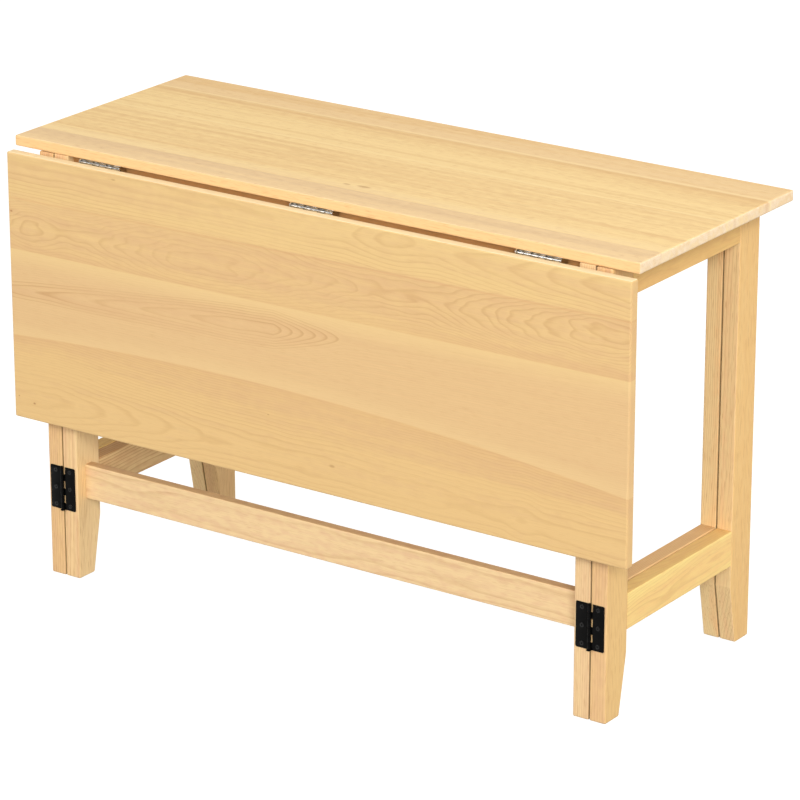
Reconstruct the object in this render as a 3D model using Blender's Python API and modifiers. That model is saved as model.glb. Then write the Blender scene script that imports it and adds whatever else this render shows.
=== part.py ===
"""Drop-leaf table on a fixed frame with two gate legs, leaf hanging and gates closed.

Metres, +Z up. The origin is on the floor, under the middle of the closed table. The leaf hangs at -Y.
"""

import math

import bmesh
import bpy
from mathutils import Matrix, Vector

# Top and leaf
TABLE_HEIGHT = 0.750
TOP_LENGTH = 1.185
TOP_DEPTH = 0.450
LEAF_WIDTH = 0.4535
BOARD_THICKNESS = 0.018
BOARD_ROUND = 0.0025
LEAF_JOINT_GAP = 0.0016  # open joint between the top and the raised leaf

# Posts: each corner is a pair, a fixed post inside and a gate post outside
END_OVERHANG = 0.048
REAR_SETBACK = 0.0175
POST_WIDTH = 0.0288
POST_DEPTH = 0.059
POST_ROUND = 0.0022
PARTING_GAP = 0.0014
FOOT_ROUND = 0.0025
FOOT_TAPER = 0.019
TAPER_HEIGHT = 0.100
GATE_TOP_CLEARANCE = 0.0015

# Aprons, stretchers and gate rails
APRON_HEIGHT = 0.056
APRON_THICKNESS = 0.020
APRON_SETBACK = 0.014
STRETCHER_LIFT = 0.137  # floor to the underside of the lower rails
STRETCHER_HEIGHT = 0.060
FRONT_STRETCHER_THICKNESS = 0.018
FRONT_STRETCHER_SETBACK = 0.022
RAIL_INSET = 0.0006  # face of a side rail behind the face of its posts
RAIL_ROUND = 0.0018
TENON_THICKNESS = 0.010
TENON_LENGTH = 0.016
TENON_WALL = 0.004  # wood left between tenons that meet in a post
BLOCK_LEG = 0.045
BLOCK_HEIGHT = 0.035

# Zinc butt hinges of the leaf
LEAF_HINGE_LENGTH = 0.078
LEAF_HINGE_REACH = 0.026
LEAF_HINGE_THICKNESS = 0.0018
LEAF_HINGE_POST_GAP = 0.0298  # end of an outer hinge to the fixed post beside it
LEAF_BARREL_RADIUS = 0.0034
LEAF_PIN_RADIUS = 0.0016
LEAF_KNUCKLES = 6
LEAF_SCREW_PITCH = 0.027
LEAF_SCREW_LENGTH = 0.012
NOTCH_MARGIN = 0.001
NOTCH_HEIGHT = 0.024
NOTCH_DEPTH = 0.013  # a blind pocket in the front apron

# Black butt hinges of the gates
GATE_HINGE_LENGTH = 0.0755
GATE_HINGE_REACH = 0.0255
GATE_HINGE_THICKNESS = 0.0016
GATE_HINGE_LIFT = 0.156  # floor to the middle of the lower hinge
GATE_HINGE_DROP = 0.130  # underside of the top to the middle of the upper hinge
GATE_HINGE_LEAF_GAP = 0.0009  # barrel to the hanging leaf
GATE_BARREL_RADIUS = 0.0029
GATE_PIN_RADIUS = 0.0014
GATE_KNUCKLES = 6
GATE_SLOT_GAP = 0.002  # barrel to the plate's edge beside the other plate's knuckles
GATE_SCREW_PITCH = 0.030
GATE_SCREW_LENGTH = 0.016

# Shared by both kinds of hinge
SCREW_HEAD_RADIUS = 0.0036
SCREW_SHANK_RADIUS = 0.0017
SCREW_HEAD_RISE = 0.0006
SCREW_RIM = 0.0002
RECESS_WIDTH = 0.0008
RECESS_DEPTH = 0.0011
BUTTON_HEIGHT = 0.0016
BARREL_CLEARANCE = 0.0002  # barrel to the wood that carries it
KNUCKLE_GAP = 0.0007
TAB_INSET = 0.0003  # a plate's tab ends this far inside its knuckle's ends
PIN_CLEARANCE = 0.0004
SEAT = 0.0003  # pieces that touch

BARREL_SIDES = 12
SCREW_SIDES = 8

# Derived planes and axes
UNDERSIDE = TABLE_HEIGHT - BOARD_THICKNESS
LEAF_PIVOT_DROP = LEAF_BARREL_RADIUS + BARREL_CLEARANCE
LEAF_STANDOFF = LEAF_PIVOT_DROP + LEAF_JOINT_GAP / 2
GATE_PIVOT_STANDOFF = GATE_BARREL_RADIUS + BARREL_CLEARANCE
TOP_REAR = (TOP_DEPTH + LEAF_STANDOFF + BOARD_THICKNESS) / 2
TOP_FRONT = TOP_REAR - TOP_DEPTH
LEAF_AXIS = Vector((0, TOP_FRONT - LEAF_JOINT_GAP / 2, UNDERSIDE - LEAF_PIVOT_DROP))
LEAF_INNER = LEAF_AXIS.y - LEAF_PIVOT_DROP
LEAF_TOP = LEAF_AXIS.z - LEAF_JOINT_GAP / 2
GATE_AXIS_Y = LEAF_INNER + GATE_HINGE_LEAF_GAP + GATE_BARREL_RADIUS
POST_FRONT = GATE_AXIS_Y + GATE_PIVOT_STANDOFF
POST_REAR = TOP_REAR - REAR_SETBACK
HALF_LENGTH = TOP_LENGTH / 2
GATE_OUTER = HALF_LENGTH - END_OVERHANG
PARTING = GATE_OUTER - POST_WIDTH - PARTING_GAP / 2
FIXED_OUTER = PARTING - PARTING_GAP / 2
FIXED_INNER = FIXED_OUTER - POST_WIDTH
FRAME_TOP = UNDERSIDE - SEAT
GATE_TOP = UNDERSIDE - GATE_TOP_CLEARANCE
STRETCHER_TOP = STRETCHER_LIFT + STRETCHER_HEIGHT
SIDE_START = POST_FRONT + POST_DEPTH + SEAT
SIDE_END = POST_REAR - POST_DEPTH - SEAT
CROSS_TENON_BACK = FRONT_STRETCHER_SETBACK + (FRONT_STRETCHER_THICKNESS + TENON_THICKNESS) / 2
SIDE_TENON_LENGTH = POST_DEPTH - CROSS_TENON_BACK - TENON_WALL

for old in list(bpy.data.objects):
    bpy.data.objects.remove(old, do_unlink=True)

PARTS = bpy.data.collections.new("drop_leaf_table")
CUTTERS = bpy.data.collections.new("cutters")
bpy.context.scene.collection.children.link(PARTS)
bpy.context.scene.collection.children.link(CUTTERS)


def principled(name, colour, roughness, metallic=0.0):
    material = bpy.data.materials.new(name)
    material.use_nodes = True
    shader = material.node_tree.nodes["Principled BSDF"]
    shader.inputs["Base Color"].default_value = (*colour, 1.0)
    shader.inputs["Roughness"].default_value = roughness
    shader.inputs["Metallic"].default_value = metallic
    return material


PANEL_WOOD = principled("panel_wood", (0.66, 0.47, 0.28), 0.45)
FRAME_WOOD = principled("frame_wood", (0.64, 0.44, 0.26), 0.5)
BLACK_STEEL = principled("black_steel", (0.012, 0.012, 0.013), 0.4, 0.6)
ZINC_STEEL = principled("zinc_steel", (0.6, 0.6, 0.58), 0.35, 1.0)


def axis_empty(name, location):
    """An empty on a joint's axis, which carries the pieces that turn about it."""
    empty = bpy.data.objects.new(name, None)
    empty.empty_display_size = 0.05
    empty.location = location
    PARTS.objects.link(empty)
    return empty


FRAME = axis_empty("frame_origin", (0, 0, 0))
LEAF = axis_empty("leaf_axis", LEAF_AXIS)
GATES = {
    "left": axis_empty("gate_left_axis", (-PARTING, GATE_AXIS_Y, 0)),
    "right": axis_empty("gate_right_axis", (PARTING, GATE_AXIS_Y, 0)),
}
SIDES = {"left": -1, "right": 1}


def add_part(name, mesh, material, carrier, location, rotation=Matrix.Identity(3)):
    """One piece of the table, set down in world coordinates under its carrier."""
    mesh.materials.clear()
    mesh.materials.append(material)
    part = bpy.data.objects.new(name, mesh)
    PARTS.objects.link(part)
    part.parent = carrier
    part.location = Vector(location) - carrier.location
    part.rotation_euler = rotation.to_euler()
    return part


def add_cutter(name, mesh):
    cutter = bpy.data.objects.new(name, mesh)
    cutter.hide_render = True
    cutter.display_type = "WIRE"
    CUTTERS.objects.link(cutter)
    return cutter


def boolean(part, other, operation="DIFFERENCE"):
    modifier = part.modifiers.new(other.name, "BOOLEAN")
    modifier.operation = operation
    modifier.solver = "EXACT"
    modifier.object = other


def bevel(part, width, segments=2):
    """Rounds the edges that carry a bevel weight."""
    modifier = part.modifiers.new("rounding", "BEVEL")
    modifier.limit_method = "WEIGHT"
    modifier.width = width
    modifier.segments = segments


def baked(part, name):
    """The piece's mesh with its modifiers applied. The working object goes."""
    graph = bpy.context.evaluated_depsgraph_get()
    mesh = bpy.data.meshes.new_from_object(part.evaluated_get(graph))
    mesh.name = name
    bpy.data.objects.remove(part, do_unlink=True)
    return mesh


def to_mesh(bm, name):
    mesh = bpy.data.meshes.new(name)
    bm.to_mesh(mesh)
    bm.free()
    return mesh


def add_block(bm, low, high):
    """A box between two corners, added to a mesh being built."""
    low, high = Vector(low), Vector(high)
    verts = bmesh.ops.create_cube(bm, size=1.0)["verts"]
    bmesh.ops.scale(bm, vec=high - low, verts=verts)
    bmesh.ops.translate(bm, vec=(high + low) / 2, verts=verts)
    return verts


def weigh_edges(bm, weight_of):
    layer = bm.edges.layers.float.new("bevel_weight_edge")
    for edge in bm.edges:
        edge[layer] = weight_of(edge)


def outline_mesh(name, points, thickness, turn):
    """A flat outline of a given thickness, centred on its plane and then turned."""
    curve = bpy.data.curves.new(name, "CURVE")
    curve.dimensions = "2D"
    curve.fill_mode = "BOTH"
    curve.extrude = thickness / 2
    spline = curve.splines.new("POLY")
    spline.points.add(len(points) - 1)
    for point, (u, v) in zip(spline.points, points):
        point.co = (u, v, 0, 1)
    spline.use_cyclic_u = True
    shape = bpy.data.objects.new(name, curve)
    CUTTERS.objects.link(shape)
    mesh = baked(shape, name)
    bpy.data.curves.remove(curve)
    bm = bmesh.new()
    bm.from_mesh(mesh)
    bmesh.ops.remove_doubles(bm, verts=bm.verts, dist=1e-6)
    bmesh.ops.dissolve_limit(bm, angle_limit=0.01, verts=bm.verts, edges=bm.edges)
    bmesh.ops.recalc_face_normals(bm, faces=bm.faces)
    bmesh.ops.transform(bm, matrix=turn, verts=bm.verts)
    bm.to_mesh(mesh)
    bm.free()
    return mesh


def turned_mesh(name, profile, sides):
    """A turned piece about Z from a profile of (radius, height), top to bottom."""
    mesh = bpy.data.meshes.new(name)
    edges = [(i, i + 1) for i in range(len(profile) - 1)]
    mesh.from_pydata([(radius, 0, height) for radius, height in profile], edges, [])
    shape = bpy.data.objects.new(name, mesh)
    CUTTERS.objects.link(shape)
    screw = shape.modifiers.new("turn", "SCREW")
    screw.steps = screw.render_steps = sides
    screw.use_merge_vertices = True
    screw.merge_threshold = 0.0001
    turned = baked(shape, name)
    turned.shade_smooth()
    turned.set_sharp_from_angle(angle=math.radians(35))
    return turned


def copies_mesh(name, mesh, placements):
    """Copies of a mesh at several placements, as one cutter."""
    bm = bmesh.new()
    for placement in placements:
        start = len(bm.verts)
        bm.from_mesh(mesh)
        bm.verts.ensure_lookup_table()
        bmesh.ops.transform(bm, matrix=placement, verts=bm.verts[start:])
    return to_mesh(bm, name)


# Boards


def board(name, carrier, low, high):
    low, high = Vector(low), Vector(high)
    bm = bmesh.new()
    add_block(bm, (low - high) / 2, (high - low) / 2)
    weigh_edges(bm, lambda edge: 1.0)
    part = add_part(name, to_mesh(bm, name), PANEL_WOOD, carrier, (low + high) / 2)
    bevel(part, BOARD_ROUND)
    return part


top_panel = board(
    "top_panel",
    FRAME,
    (-HALF_LENGTH, TOP_FRONT, UNDERSIDE),
    (HALF_LENGTH, TOP_REAR, TABLE_HEIGHT),
)
drop_leaf = board(
    "drop_leaf",
    LEAF,
    (-HALF_LENGTH, LEAF_INNER - BOARD_THICKNESS, LEAF_TOP - LEAF_WIDTH),
    (HALF_LENGTH, LEAF_INNER, LEAF_TOP),
)


# Posts


def post(name, carrier, outer_x, side, front, taper_at, height):
    """A post whose foot tapers on its front (-1) or rear (+1) face."""
    bm = bmesh.new()
    half = (POST_WIDTH / 2, POST_DEPTH / 2)
    add_block(bm, (-half[0], -half[1], 0), (half[0], half[1], height))
    bmesh.ops.bisect_plane(
        bm,
        geom=bm.verts[:] + bm.edges[:] + bm.faces[:],
        plane_co=(0, 0, TAPER_HEIGHT),
        plane_no=(0, 0, 1),
    )
    for vert in bm.verts:
        if vert.co.z < TAPER_HEIGHT / 2 and vert.co.y * taper_at > 0:
            vert.co.y -= taper_at * FOOT_TAPER

    def rounding(edge):
        heights = [vert.co.z for vert in edge.verts]
        if max(heights) < TAPER_HEIGHT / 2:
            return 1.0
        level = abs(heights[0] - heights[1]) < SEAT
        return 0.0 if level and heights[0] < height - SEAT else POST_ROUND / FOOT_ROUND

    weigh_edges(bm, rounding)
    middle = (side * (outer_x - POST_WIDTH / 2), front + POST_DEPTH / 2, 0)
    part = add_part(name, to_mesh(bm, name), FRAME_WOOD, carrier, middle)
    bevel(part, FOOT_ROUND)
    return part


REAR_POST_FRONT = POST_REAR - POST_DEPTH
fixed_posts = {}
gate_posts = {}
for hand, side in SIDES.items():
    for place, front, taper_at in (("front", POST_FRONT, 1), ("rear", REAR_POST_FRONT, -1)):
        fixed_posts[place, hand] = post(
            f"post_{place}_{hand}", FRAME, FIXED_OUTER, side, front, taper_at, FRAME_TOP
        )
        role = "hinge" if place == "front" else "swing"
        gate_posts[place, hand] = post(
            f"gate_{hand}_{role}_post", GATES[hand], GATE_OUTER, side, front, taper_at, GATE_TOP
        )


# Rails, tenoned into the posts at both ends


def rail(name, carrier, low, high, axis, tenon_length, posts):
    """A rail along X (0) or Y (1), and the mortises for its two tenons in the posts."""
    low, high = Vector(low), Vector(high)
    size = high - low
    shoulder = (size[1 - axis] - TENON_THICKNESS) / 2
    bm = bmesh.new()
    add_block(bm, -size / 2, size / 2)
    ends = [face for face in bm.faces if abs(face.normal[axis]) > 0.9]
    bmesh.ops.inset_individual(bm, faces=ends, thickness=shoulder, use_even_offset=True)
    for end in ends:
        outward = Vector(end.normal) * tenon_length
        grown = bmesh.ops.extrude_discrete_faces(bm, faces=[end])["faces"]
        bmesh.ops.translate(bm, vec=outward, verts=grown[0].verts[:])

    def long_edge(edge):
        against_top = high.z > FRAME_TOP - SEAT and edge.verts[0].co.z > 0
        return 1.0 if edge.calc_length() > size[axis] - SEAT and not against_top else 0.0

    weigh_edges(bm, long_edge)
    part = add_part(name, to_mesh(bm, name), FRAME_WOOD, carrier, (low + high) / 2)
    bevel(part, RAIL_ROUND)

    sockets = bmesh.new()
    for end in (-1, 1):
        inner = Vector([side / 2 - shoulder + SEAT for side in size])
        middle = (low + high) / 2
        middle[axis] += end * size[axis] / 2
        inner[axis] = tenon_length + SEAT
        add_block(sockets, middle - inner, middle + inner)
    cutter = add_cutter(name + "_mortises", to_mesh(sockets, name + "_mortises"))
    for carrying in posts:
        boolean(carrying, cutter)
    return part


APRON_BOTTOM = FRAME_TOP - APRON_HEIGHT
CROSS_END = FIXED_INNER - SEAT
front_posts = [fixed_posts["front", hand] for hand in SIDES]
rear_posts = [fixed_posts["rear", hand] for hand in SIDES]
FRONT_APRON_FACE = POST_FRONT + APRON_SETBACK
FRONT_APRON_BACK = FRONT_APRON_FACE + APRON_THICKNESS
REAR_APRON_FRONT = POST_REAR - APRON_SETBACK - APRON_THICKNESS
apron_front = rail(
    "apron_front",
    FRAME,
    (-CROSS_END, FRONT_APRON_FACE, APRON_BOTTOM),
    (CROSS_END, FRONT_APRON_BACK, FRAME_TOP),
    0,
    TENON_LENGTH,
    front_posts,
)
rail(
    "apron_rear",
    FRAME,
    (-CROSS_END, REAR_APRON_FRONT, APRON_BOTTOM),
    (CROSS_END, POST_REAR - APRON_SETBACK, FRAME_TOP),
    0,
    TENON_LENGTH,
    rear_posts,
)
STRETCHER_FRONT = POST_FRONT + FRONT_STRETCHER_SETBACK
rail(
    "stretcher_front",
    FRAME,
    (-CROSS_END, STRETCHER_FRONT, STRETCHER_LIFT),
    (CROSS_END, STRETCHER_FRONT + FRONT_STRETCHER_THICKNESS, STRETCHER_TOP),
    0,
    TENON_LENGTH,
    front_posts,
)


def side_rail(name, carrier, outer_x, side, bottom, top, posts):
    """A rail from front post to rear post at one end of the table."""
    faces = sorted((side * (outer_x - POST_WIDTH + RAIL_INSET), side * (outer_x - RAIL_INSET)))
    low, high = (faces[0], SIDE_START, bottom), (faces[1], SIDE_END, top)
    return rail(name, carrier, low, high, 1, SIDE_TENON_LENGTH, posts)


for hand, side in SIDES.items():
    fixed = [fixed_posts[place, hand] for place in ("front", "rear")]
    side_rail(f"apron_{hand}", FRAME, FIXED_OUTER, side, APRON_BOTTOM, FRAME_TOP, fixed)
    side_rail(
        f"stretcher_{hand}", FRAME, FIXED_OUTER, side, STRETCHER_LIFT, STRETCHER_TOP, fixed
    )
    swinging = [gate_posts[place, hand] for place in ("front", "rear")]
    gate = GATES[hand]
    side_rail(
        f"gate_{hand}_top_rail", gate, GATE_OUTER, side, GATE_TOP - APRON_HEIGHT, GATE_TOP, swinging
    )
    side_rail(
        f"gate_{hand}_bottom_rail", gate, GATE_OUTER, side, STRETCHER_LIFT, STRETCHER_TOP, swinging
    )

# Glue blocks in the corners of the aprons, under the top
for place, wall, inward in (("front", FRONT_APRON_BACK, 1), ("rear", REAR_APRON_FRONT, -1)):
    for hand, side in SIDES.items():
        name = f"corner_block_{place}_{hand}"
        triangle = [(0, 0), (-side * BLOCK_LEG, 0), (0, inward * BLOCK_LEG)]
        mesh = outline_mesh(name, triangle, BLOCK_HEIGHT, Matrix.Identity(4))
        corner = (side * CROSS_END, wall + inward * SEAT, FRAME_TOP - BLOCK_HEIGHT / 2)
        add_part(name, mesh, FRAME_WOOD, FRAME, corner)


# Hinges. In a hinge's own axes the pin lies along Z and the wood is on the +Y side. A plate
# reaches towards +X or -X, and its knuckles take turns along the pin with the other plate's.

INTO_WOOD = Matrix.Rotation(math.pi / 2, 4, "X")


def screw_profile(length):
    """A countersunk screw with a low crown: its cone is as deep as the head is wider than the shank."""
    cone = SCREW_RIM + SCREW_HEAD_RADIUS - SCREW_SHANK_RADIUS
    tip = SCREW_SHANK_RADIUS * 2
    return [
        (0, SCREW_HEAD_RISE),
        (SCREW_HEAD_RADIUS, SCREW_RIM),
        (SCREW_HEAD_RADIUS, -SCREW_RIM),
        (SCREW_SHANK_RADIUS, -cone),
        (SCREW_SHANK_RADIUS, tip - length),
        (0, -length),
    ]


def hole_profile(length):
    """The way that a screw takes through its plate and into the wood, with its clearance."""
    cone = SCREW_RIM + SCREW_HEAD_RADIUS - SCREW_SHANK_RADIUS
    return [
        (0, SCREW_HEAD_RISE),
        (SCREW_HEAD_RADIUS + SEAT, SCREW_HEAD_RISE),
        (SCREW_HEAD_RADIUS + SEAT, -SCREW_RIM),
        (SCREW_SHANK_RADIUS + SEAT, -cone),
        (SCREW_SHANK_RADIUS + SEAT, -length - SEAT),
        (0, -length - SEAT),
    ]


def recessed_screw_mesh(name, length):
    """A countersunk screw with a cross recess, its head at Z = 0 and its point down."""
    shape = add_cutter(name, turned_mesh(name, screw_profile(length), SCREW_SIDES))
    arm = SCREW_HEAD_RADIUS * 0.55
    bottom, top = SCREW_HEAD_RISE - RECESS_DEPTH, SCREW_HEAD_RISE + SEAT
    cuts = []
    for along, across in ((arm, RECESS_WIDTH / 2), (RECESS_WIDTH / 2, arm)):
        bm = bmesh.new()
        add_block(bm, (-along, -across, bottom), (along, across, top))
        cuts.append(add_cutter(name + "_recess", to_mesh(bm, name + "_recess")))
        boolean(shape, cuts[-1])
    mesh = baked(shape, name)
    for cut in cuts:
        bpy.data.objects.remove(cut, do_unlink=True)
    return mesh


def knuckle_spans(length, count, first):
    """(low, high) along the pin of every second knuckle, from the one numbered first."""
    pitch = length / count
    spans = []
    for index in range(first, count, 2):
        low = -length / 2 + index * pitch + (KNUCKLE_GAP / 2 if index else 0)
        high = -length / 2 + (index + 1) * pitch - (KNUCKLE_GAP / 2 if index < count - 1 else 0)
        spans.append((low, high))
    return spans


def plate_outline(length, reach, slot, spans, side):
    """The plate's blank: a tab to the pin for each knuckle, and a slot for each of the other's."""
    end = length / 2 - TAB_INSET
    points = [(reach, -end), (reach, end)]
    inner = [(slot, end)]
    for low, high in reversed(spans):
        low, high = low + TAB_INSET, high - TAB_INSET
        inner += [(slot, high), (0, high), (0, low), (slot, low)]
    inner.append((slot, -end))
    for point in inner:
        if max(abs(a - b) for a, b in zip(point, points[-1])) > 1e-9:
            points.append(point)
    return [(side * u, v) for u, v in points]


def screw_seats(reach, barrel, pitch, side, open_face):
    """Where a plate's three screws sit: their heads on the open face, pointing into the wood."""
    middle = side * (reach + barrel) / 2
    return [
        Matrix.Translation((middle, open_face, step * pitch)) @ INTO_WOOD for step in (-1, 0, 1)
    ]


def hinge_plate(name, sizes, spans, side, screws_in_place):
    """A plate with its knuckles, and with its screws in place or only countersunk for them."""
    length, reach, thickness, barrel, slot_gap, pin, standoff, pitch, screw_length = sizes
    back = standoff - SEAT
    turn = Matrix.Translation((0, back - thickness / 2, 0)) @ INTO_WOOD
    blank = plate_outline(length, reach, barrel + slot_gap, spans, side)
    plate = add_cutter(name, outline_mesh(name, blank, thickness, turn))
    tools = []

    def shape_with(tool_name, mesh, operation):
        tools.append(add_cutter(tool_name, mesh))
        boolean(plate, tools[-1], operation)

    bm = bmesh.new()
    for low, high in spans:
        bmesh.ops.create_cone(
            bm,
            cap_ends=True,
            segments=BARREL_SIDES,
            radius1=barrel,
            radius2=barrel,
            depth=high - low,
            matrix=Matrix.Translation((0, 0, (low + high) / 2)),
        )
    shape_with(name + "_knuckles", to_mesh(bm, name), "UNION")
    bm = bmesh.new()
    bmesh.ops.create_cone(
        bm,
        cap_ends=True,
        segments=BARREL_SIDES,
        radius1=pin + PIN_CLEARANCE,
        radius2=pin + PIN_CLEARANCE,
        depth=length + 2 * BUTTON_HEIGHT,
    )
    shape_with(name + "_bore", to_mesh(bm, name), "DIFFERENCE")
    seats = screw_seats(reach, barrel, pitch, side, back - thickness)
    if screws_in_place:
        screw = turned_mesh(name, screw_profile(screw_length), SCREW_SIDES)
        shape_with(name + "_screws", copies_mesh(name, screw, seats), "UNION")
    else:
        hole = turned_mesh(name, hole_profile(screw_length), SCREW_SIDES)
        shape_with(name + "_holes", copies_mesh(name, hole, seats), "DIFFERENCE")
    mesh = baked(plate, name)
    for tool in tools:
        bpy.data.objects.remove(tool, do_unlink=True)
    mesh.shade_smooth()
    mesh.set_sharp_from_angle(angle=math.radians(35))
    return mesh, seats


def pin_mesh(name, length, barrel, pin):
    """A hinge pin with a button at each end that keeps it in the knuckles."""
    neck = length / 2 + SEAT
    cap = neck + BUTTON_HEIGHT
    button = barrel * 0.85
    upper = [(0, cap), (button, cap - BUTTON_HEIGHT * 0.6), (button, neck), (pin, neck)]
    lower = [(radius, -height) for radius, height in reversed(upper)]
    return turned_mesh(name, upper + lower, BARREL_SIDES)


def drill(part, name, profile, placements):
    """Pilot holes in the wood for a set of screws."""
    hole = turned_mesh(name, profile, SCREW_SIDES)
    boolean(part, add_cutter(name, copies_mesh(name, hole, placements)))


# Leaf hinges: the pin lies along X, one plate under the top and the other down the leaf
LEAF_SIZES = (
    LEAF_HINGE_LENGTH,
    LEAF_HINGE_REACH,
    LEAF_HINGE_THICKNESS,
    LEAF_BARREL_RADIUS,
    KNUCKLE_GAP,
    LEAF_PIN_RADIUS,
    LEAF_PIVOT_DROP,
    LEAF_SCREW_PITCH,
    LEAF_SCREW_LENGTH,
)
LEAF_SPANS = [knuckle_spans(LEAF_HINGE_LENGTH, LEAF_KNUCKLES, first) for first in (0, 1)]
UNDER_TOP = Matrix(((0, 0, 1), (1, 0, 0), (0, 1, 0)))
DOWN_LEAF = Matrix(((0, 0, 1), (0, -1, 0), (1, 0, 0)))
top_plate, top_seats = hinge_plate("top_plate", LEAF_SIZES, LEAF_SPANS[0], 1, True)
leaf_plate, leaf_seats = hinge_plate("leaf_plate", LEAF_SIZES, LEAF_SPANS[1], -1, True)
leaf_pin = pin_mesh("leaf_pin", LEAF_HINGE_LENGTH, LEAF_BARREL_RADIUS, LEAF_PIN_RADIUS)
OUTER_HINGE = FIXED_INNER - LEAF_HINGE_POST_GAP - LEAF_HINGE_LENGTH / 2
top_holes, leaf_holes = [], []
notches = bmesh.new()
for place, x in (("left", -OUTER_HINGE), ("middle", 0.0), ("right", OUTER_HINGE)):
    at = Vector((x, LEAF_AXIS.y, LEAF_AXIS.z))
    name = f"leaf_hinge_{place}"
    add_part(name + "_top_plate", top_plate, ZINC_STEEL, FRAME, at, UNDER_TOP)
    add_part(name + "_leaf_plate", leaf_plate, ZINC_STEEL, LEAF, at, DOWN_LEAF)
    add_part(name + "_pin", leaf_pin, ZINC_STEEL, FRAME, at, UNDER_TOP)
    top_holes += [Matrix.Translation(at) @ UNDER_TOP.to_4x4() @ seat for seat in top_seats]
    leaf_holes += [Matrix.Translation(at) @ DOWN_LEAF.to_4x4() @ seat for seat in leaf_seats]
    reach = LEAF_HINGE_LENGTH / 2 + NOTCH_MARGIN
    low = (x - reach, POST_FRONT, FRAME_TOP - NOTCH_HEIGHT)
    add_block(notches, low, (x + reach, FRONT_APRON_FACE + NOTCH_DEPTH, FRAME_TOP + TENON_WALL))
leaf_hole = hole_profile(LEAF_SCREW_LENGTH)
drill(top_panel, "top_screw_holes", leaf_hole, top_holes)
drill(drop_leaf, "leaf_screw_holes", leaf_hole, leaf_holes)
boolean(apron_front, add_cutter("hinge_notches", to_mesh(notches, "hinge_notches")))

# Gate hinges: the pin stands upright in front of the line where the post pair parts. Every
# hinge is the same way up, so the plate with the topmost knuckle is always the left one.
GATE_SIZES = (
    GATE_HINGE_LENGTH,
    GATE_HINGE_REACH,
    GATE_HINGE_THICKNESS,
    GATE_BARREL_RADIUS,
    GATE_SLOT_GAP,
    GATE_PIN_RADIUS,
    GATE_PIVOT_STANDOFF,
    GATE_SCREW_PITCH,
    GATE_SCREW_LENGTH,
)
GATE_SPANS = [knuckle_spans(GATE_HINGE_LENGTH, GATE_KNUCKLES, first) for first in (0, 1)]
gate_screw = recessed_screw_mesh("gate_screw", GATE_SCREW_LENGTH)
gate_pin = pin_mesh("gate_pin", GATE_HINGE_LENGTH, GATE_BARREL_RADIUS, GATE_PIN_RADIUS)
gate_hole = hole_profile(GATE_SCREW_LENGTH)
gate_plates = {}
for fixing in ("lower", "upper"):
    for side, spans in ((1, GATE_SPANS[0]), (-1, GATE_SPANS[1])):
        gate_plates[fixing, side] = hinge_plate(
            f"gate_plate_{fixing}_{side}", GATE_SIZES, spans, side, fixing == "upper"
        )
HINGE_HEIGHTS = {"lower": GATE_HINGE_LIFT, "upper": UNDERSIDE - GATE_HINGE_DROP}
for hand, hand_side in SIDES.items():
    holes = {"frame": [], "gate": []}
    for fixing, height in HINGE_HEIGHTS.items():
        at = Vector((hand_side * PARTING, GATE_AXIS_Y, height))
        name = f"gate_{hand}_{fixing}_hinge"
        add_part(name + "_pin", gate_pin, BLACK_STEEL, FRAME, at)
        for owner, carrier, side in (("frame", FRAME, -hand_side), ("gate", GATES[hand], hand_side)):
            mesh, seats = gate_plates[fixing, side]
            add_part(f"{name}_{owner}_plate", mesh, BLACK_STEEL, carrier, at)
            placements = [Matrix.Translation(at) @ seat for seat in seats]
            holes[owner] += placements
            if fixing == "lower":
                for number, placement in enumerate(placements, 1):
                    add_part(
                        f"gate_{hand}_{owner}_screw_{number}",
                        gate_screw,
                        BLACK_STEEL,
                        carrier,
                        placement.translation,
                        placement.to_3x3(),
                    )
    drill(fixed_posts["front", hand], f"frame_{hand}_screw_holes", gate_hole, holes["frame"])
    drill(gate_posts["front", hand], f"gate_{hand}_screw_holes", gate_hole, holes["gate"])
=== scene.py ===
"""Looks of the drop-leaf table: pale lacquered boards and posts, black gate hinges, zinc leaf hinges."""

import math

import bmesh
import bpy
from mathutils import Matrix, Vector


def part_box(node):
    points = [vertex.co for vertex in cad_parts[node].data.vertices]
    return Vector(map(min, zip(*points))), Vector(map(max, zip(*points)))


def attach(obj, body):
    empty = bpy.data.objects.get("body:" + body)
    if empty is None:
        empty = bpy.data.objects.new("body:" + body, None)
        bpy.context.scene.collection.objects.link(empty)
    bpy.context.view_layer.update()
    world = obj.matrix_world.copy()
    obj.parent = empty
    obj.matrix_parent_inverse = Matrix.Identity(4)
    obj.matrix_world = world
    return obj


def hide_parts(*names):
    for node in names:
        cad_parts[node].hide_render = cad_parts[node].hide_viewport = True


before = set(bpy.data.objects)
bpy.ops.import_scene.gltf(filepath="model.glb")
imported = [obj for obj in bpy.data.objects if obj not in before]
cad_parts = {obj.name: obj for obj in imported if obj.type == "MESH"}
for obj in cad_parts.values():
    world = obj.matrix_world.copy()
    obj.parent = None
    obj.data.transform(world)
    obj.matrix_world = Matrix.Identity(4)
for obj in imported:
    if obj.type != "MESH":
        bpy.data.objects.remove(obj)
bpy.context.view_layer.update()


# Camera and studio. The photograph was taken with a long lens from the front right, a little
# above the top. The floor is a glowing white sweep, and most light comes from beside the camera.
camera = bpy.data.objects.new("camera", bpy.data.cameras.new("camera"))
camera.location = (3.552, -5.0708, 2.578)
camera.rotation_euler = (math.radians(70.2355), math.radians(0.0318), math.radians(34.8788))
camera.data.sensor_width = 36
camera.data.lens = 183.97
camera.data.clip_end = 100
bpy.context.scene.collection.objects.link(camera)
bpy.context.scene.camera = camera
bpy.context.scene.view_settings.view_transform = "Standard"


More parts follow.
